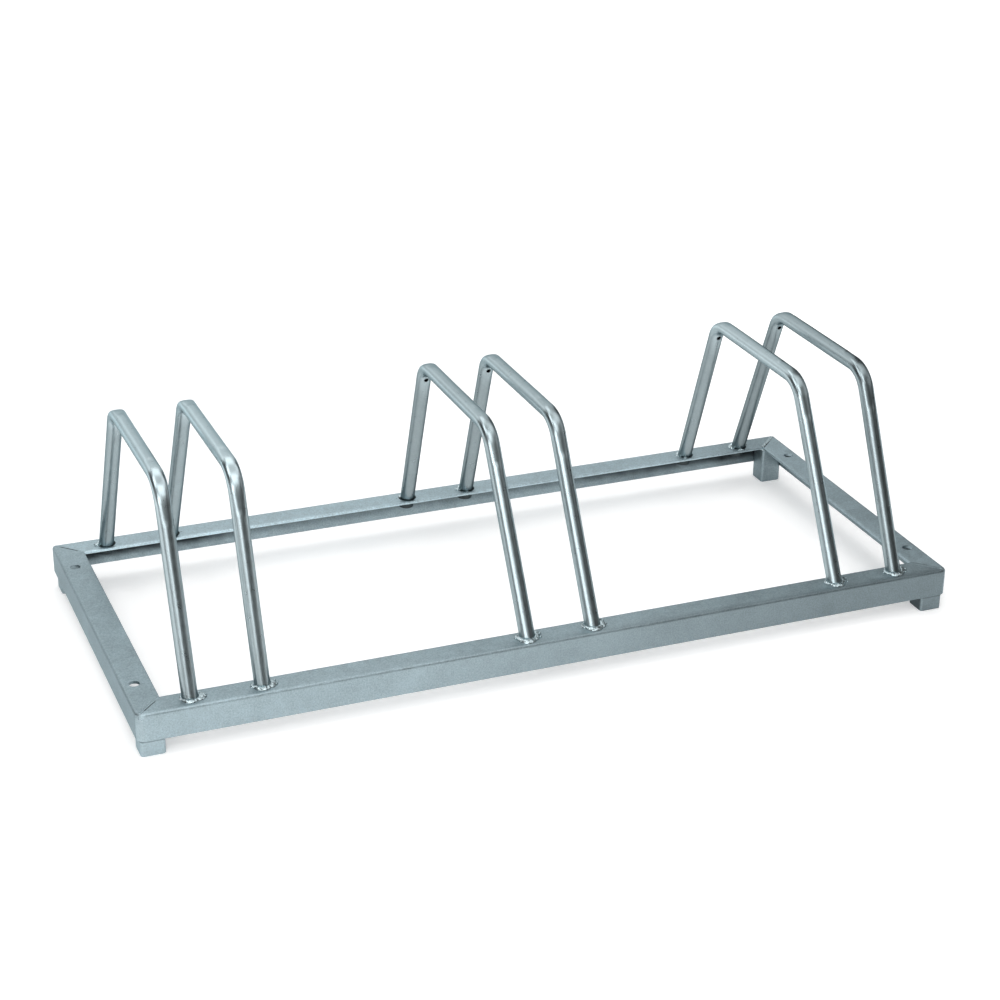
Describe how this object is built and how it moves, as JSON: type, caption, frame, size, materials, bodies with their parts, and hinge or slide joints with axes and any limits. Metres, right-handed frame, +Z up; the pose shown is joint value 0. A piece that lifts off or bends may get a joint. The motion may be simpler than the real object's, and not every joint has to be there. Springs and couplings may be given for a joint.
{
  "type": "bicycle rack",
  "caption": "Low welded floor rack for bicycles: a rectangular angle-steel frame on short square feet, with bent tube hoops in pairs that hold a wheel upright.",
  "frame": {"origin": "on the floor, under the middle of the rack's outline", "axes": "+X along the rack to the right, +Y from the front rail to the rear rail, +Z up"},
  "size_m": [0.89, 0.4, 0.2535],
  "materials": {
    "galvanised_angle": "hot-dip zinc on mild steel, satin, finely mottled grey with a cool tint",
    "galvanised_tube": "hot-dip zinc on steel tube, semi-bright, with long soft highlights and a fine mottle",
    "galvanised_foot": "hot-dip zinc on square steel tube, smooth satin grey",
    "galvanised_weld": "zinc-coated weld bead, lumpy, brighter on its crests and dark in its pits"
  },
  "bodies": {
    "root": {"front_rail": "galvanised_angle", "rear_rail": "galvanised_angle", "left_rail": "galvanised_angle", "right_rail": "galvanised_angle", "foot_front_left": "galvanised_foot", "foot_front_right": "galvanised_foot", "foot_rear_left": "galvanised_foot", "foot_rear_right": "galvanised_foot", "hoop_1": "galvanised_tube", "hoop_2": "galvanised_tube", "hoop_3": "galvanised_tube", "hoop_4": "galvanised_tube", "hoop_5": "galvanised_tube", "hoop_6": "galvanised_tube", "front_weld_1": "galvanised_weld", "front_weld_2": "galvanised_weld", "front_weld_3": "galvanised_weld", "front_weld_4": "galvanised_weld", "front_weld_5": "galvanised_weld", "front_weld_6": "galvanised_weld", "rear_weld_1": "galvanised_weld", "rear_weld_2": "galvanised_weld", "rear_weld_3": "galvanised_weld", "rear_weld_4": "galvanised_weld", "rear_weld_5": "galvanised_weld", "rear_weld_6": "galvanised_weld", "corner_weld_front_left": "galvanised_weld", "corner_weld_front_right": "galvanised_weld", "corner_weld_rear_left": "galvanised_weld", "corner_weld_rear_right": "galvanised_weld", "foot_weld_front_left": "galvanised_weld", "foot_weld_front_right": "galvanised_weld", "foot_weld_rear_left": "galvanised_weld", "foot_weld_rear_right": "galvanised_weld"}
  },
  "joints": []
}
